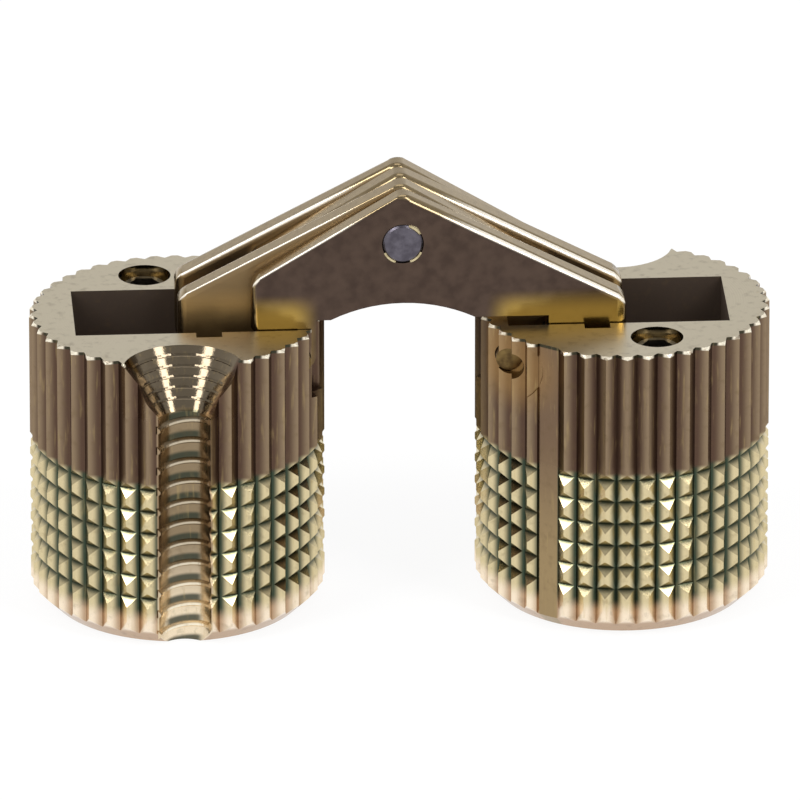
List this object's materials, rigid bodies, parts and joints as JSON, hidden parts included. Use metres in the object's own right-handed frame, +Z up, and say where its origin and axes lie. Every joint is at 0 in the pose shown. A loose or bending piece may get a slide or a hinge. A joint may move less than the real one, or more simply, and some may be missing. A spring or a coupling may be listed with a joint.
{
  "type": "invisible barrel hinge",
  "caption": "Concealed barrel hinge: two fluted and pyramid-knurled brass barrels joined by a folding stack of interleaved link plates, shown fully open.",
  "frame": {"origin": "midway between the two barrels, level with their flat bottom faces", "axes": "+X from the left barrel to the right barrel, +Y to the rear along the pivot pins, +Z up out of the barrels' open faces"},
  "size_m": [0.0402, 0.016, 0.0241],
  "materials": {
    "barrel_brass": "satin",
    "link_brass": "satin",
    "pin_steel": "satin",
    "screw_steel": "satin"
  },
  "bodies": {
    "left_barrel_body": {"left_barrel": "barrel_brass", "left_pivot_pin": "pin_steel", "left_set_screw": "screw_steel"},
    "links_a": {"link_a_front": "link_brass", "link_a_rear": "link_brass", "centre_pin": "pin_steel", "right_slider_pin": "pin_steel"},
    "links_b": {"link_b_front": "link_brass", "link_b_rear": "link_brass", "left_slider_pin": "pin_steel"},
    "right_barrel_body": {"right_barrel": "barrel_brass", "right_pivot_pin": "pin_steel", "right_set_screw": "screw_steel"}
  },
  "joints": [
    {"name": "left_pivot", "type": "hinge", "parent": "left_barrel_body", "child": "links_a", "pos_m": [-0.0057, 0, 0.01485], "axis": [0, -1, 0], "range_deg": [0, 116.82]},
    {"name": "centre_pivot", "type": "hinge", "parent": "links_a", "child": "links_b", "pos_m": [0, 0, 0.02136], "axis": [0, -1, 0], "range_deg": [-53.64, 0]},
    {"name": "right_pivot", "type": "hinge", "parent": "links_b", "child": "right_barrel_body", "pos_m": [0.0057, 0, 0.01485], "axis": [0, -1, 0], "range_deg": [0, 116.82]}
  ],
  "couplings": [
    {"joint": "centre_pivot", "follows": "left_pivot", "ratio": -0.45913},
    {"joint": "right_pivot", "follows": "left_pivot", "ratio": 1}
  ]
}
